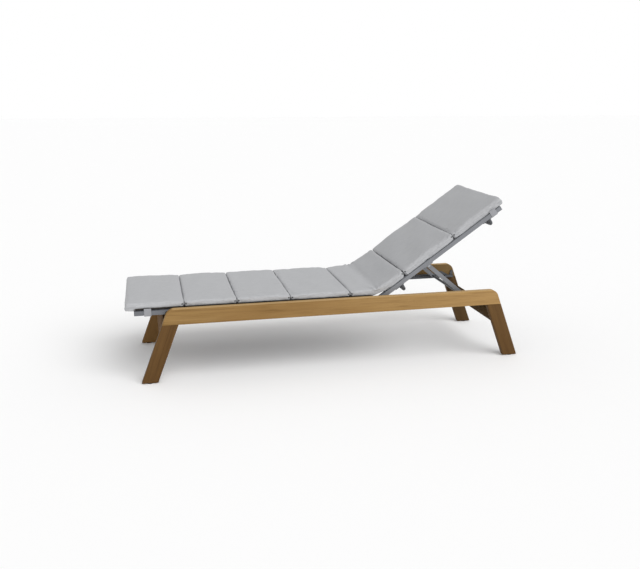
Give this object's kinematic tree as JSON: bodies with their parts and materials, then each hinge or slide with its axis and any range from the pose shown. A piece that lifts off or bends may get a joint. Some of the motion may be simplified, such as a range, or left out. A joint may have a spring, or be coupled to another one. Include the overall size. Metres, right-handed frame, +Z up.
{
  "type": "sun lounger",
  "caption": "Teak sun lounger with splayed legs, a grey metal sling frame, a backrest that reclines on a toothed prop, and a sewn panel cushion.",
  "frame": {"origin": "on the floor, under the middle of the lounger's outline as it stands in the picture", "axes": "+X from the foot end to the head end, +Y towards the occupant's right, +Z up"},
  "size_m": [1.9136, 0.605, 0.7952],
  "materials": {
    "teak": "oiled, satin",
    "teak_legs": "oiled, satin, darker boards",
    "beech": "raw",
    "frame_paint": "fine matt powder coat, mid grey",
    "dark_metal": "matt powder coat, near black",
    "sling": "woven coated mesh",
    "cushion": "matt outdoor canvas, light grey",
    "strap": "woven webbing, light grey",
    "plastic": "matt, black",
    "stainless": "plain stainless steel"
  },
  "bodies": {
    "base": {"cross_board_foot": "teak", "cross_board_head": "teak", "cushion_panel_1": "cushion", "cushion_panel_2": "cushion", "cushion_panel_3": "cushion", "cushion_panel_4": "cushion", "cushion_panel_5": "cushion", "dowels": "beech", "foot_glides": "plastic", "foot_straps": "strap", "hinge_plate_left": "frame_paint", "hinge_plate_right": "frame_paint", "hinge_plate_screws": "stainless", "hinge_rivets": "stainless", "leg_foot_left": "teak_legs", "leg_foot_right": "teak_legs", "leg_head_left": "teak_legs", "leg_head_right": "teak_legs", "rack_plate_left": "dark_metal", "rack_plate_right": "dark_metal", "rack_screws": "stainless", "rack_teeth_left": "dark_metal", "rack_teeth_right": "dark_metal", "rail_spacers": "plastic", "seat_end_bar": "frame_paint", "seat_end_caps": "plastic", "seat_flange_screws": "stainless", "seat_flanges": "dark_metal", "seat_frame_bolts": "stainless", "seat_sling": "sling", "seat_spreader_foot": "dark_metal", "seat_spreader_hinge": "dark_metal", "seat_spreader_middle": "dark_metal", "seat_tube_left": "frame_paint", "seat_tube_right": "frame_paint", "seat_welts": "plastic", "side_rail_left": "teak", "side_rail_right": "teak"},
    "backrest": {"back_end_caps": "plastic", "back_flange_screws": "stainless", "back_flanges": "dark_metal", "back_sling": "sling", "back_spreader_high": "dark_metal", "back_spreader_low": "dark_metal", "back_top_bar": "frame_paint", "back_tube_left": "frame_paint", "back_tube_right": "frame_paint", "back_welts": "plastic", "hinge_bushes": "plastic", "prop_brackets": "frame_paint", "prop_bracket_screws": "stainless", "prop_rivets": "stainless", "head_straps": "strap", "cushion_panel_6": "cushion", "cushion_panel_7": "cushion"},
    "prop": {"prop_leg_left": "frame_paint", "prop_leg_right": "frame_paint", "prop_foot_bar": "dark_metal", "prop_foot_caps": "plastic"}
  },
  "joints": [
    {"name": "recline", "type": "hinge", "parent": "base", "child": "backrest", "pos_m": [0.231, 0, 0.326], "axis": [0, -1, 0], "range_deg": [-35, 22], "deforming": ["cushion_panel_5"]},
    {"name": "prop_swing", "type": "hinge", "parent": "backrest", "child": "prop", "pos_m": [0.48338, 0, 0.47464], "axis": [0, -1, 0], "range_deg": [-48, 76]}
  ],
  "couplings": [
    {"joint": "prop_swing", "follows": "recline", "ratio": -2.1655}
  ]
}
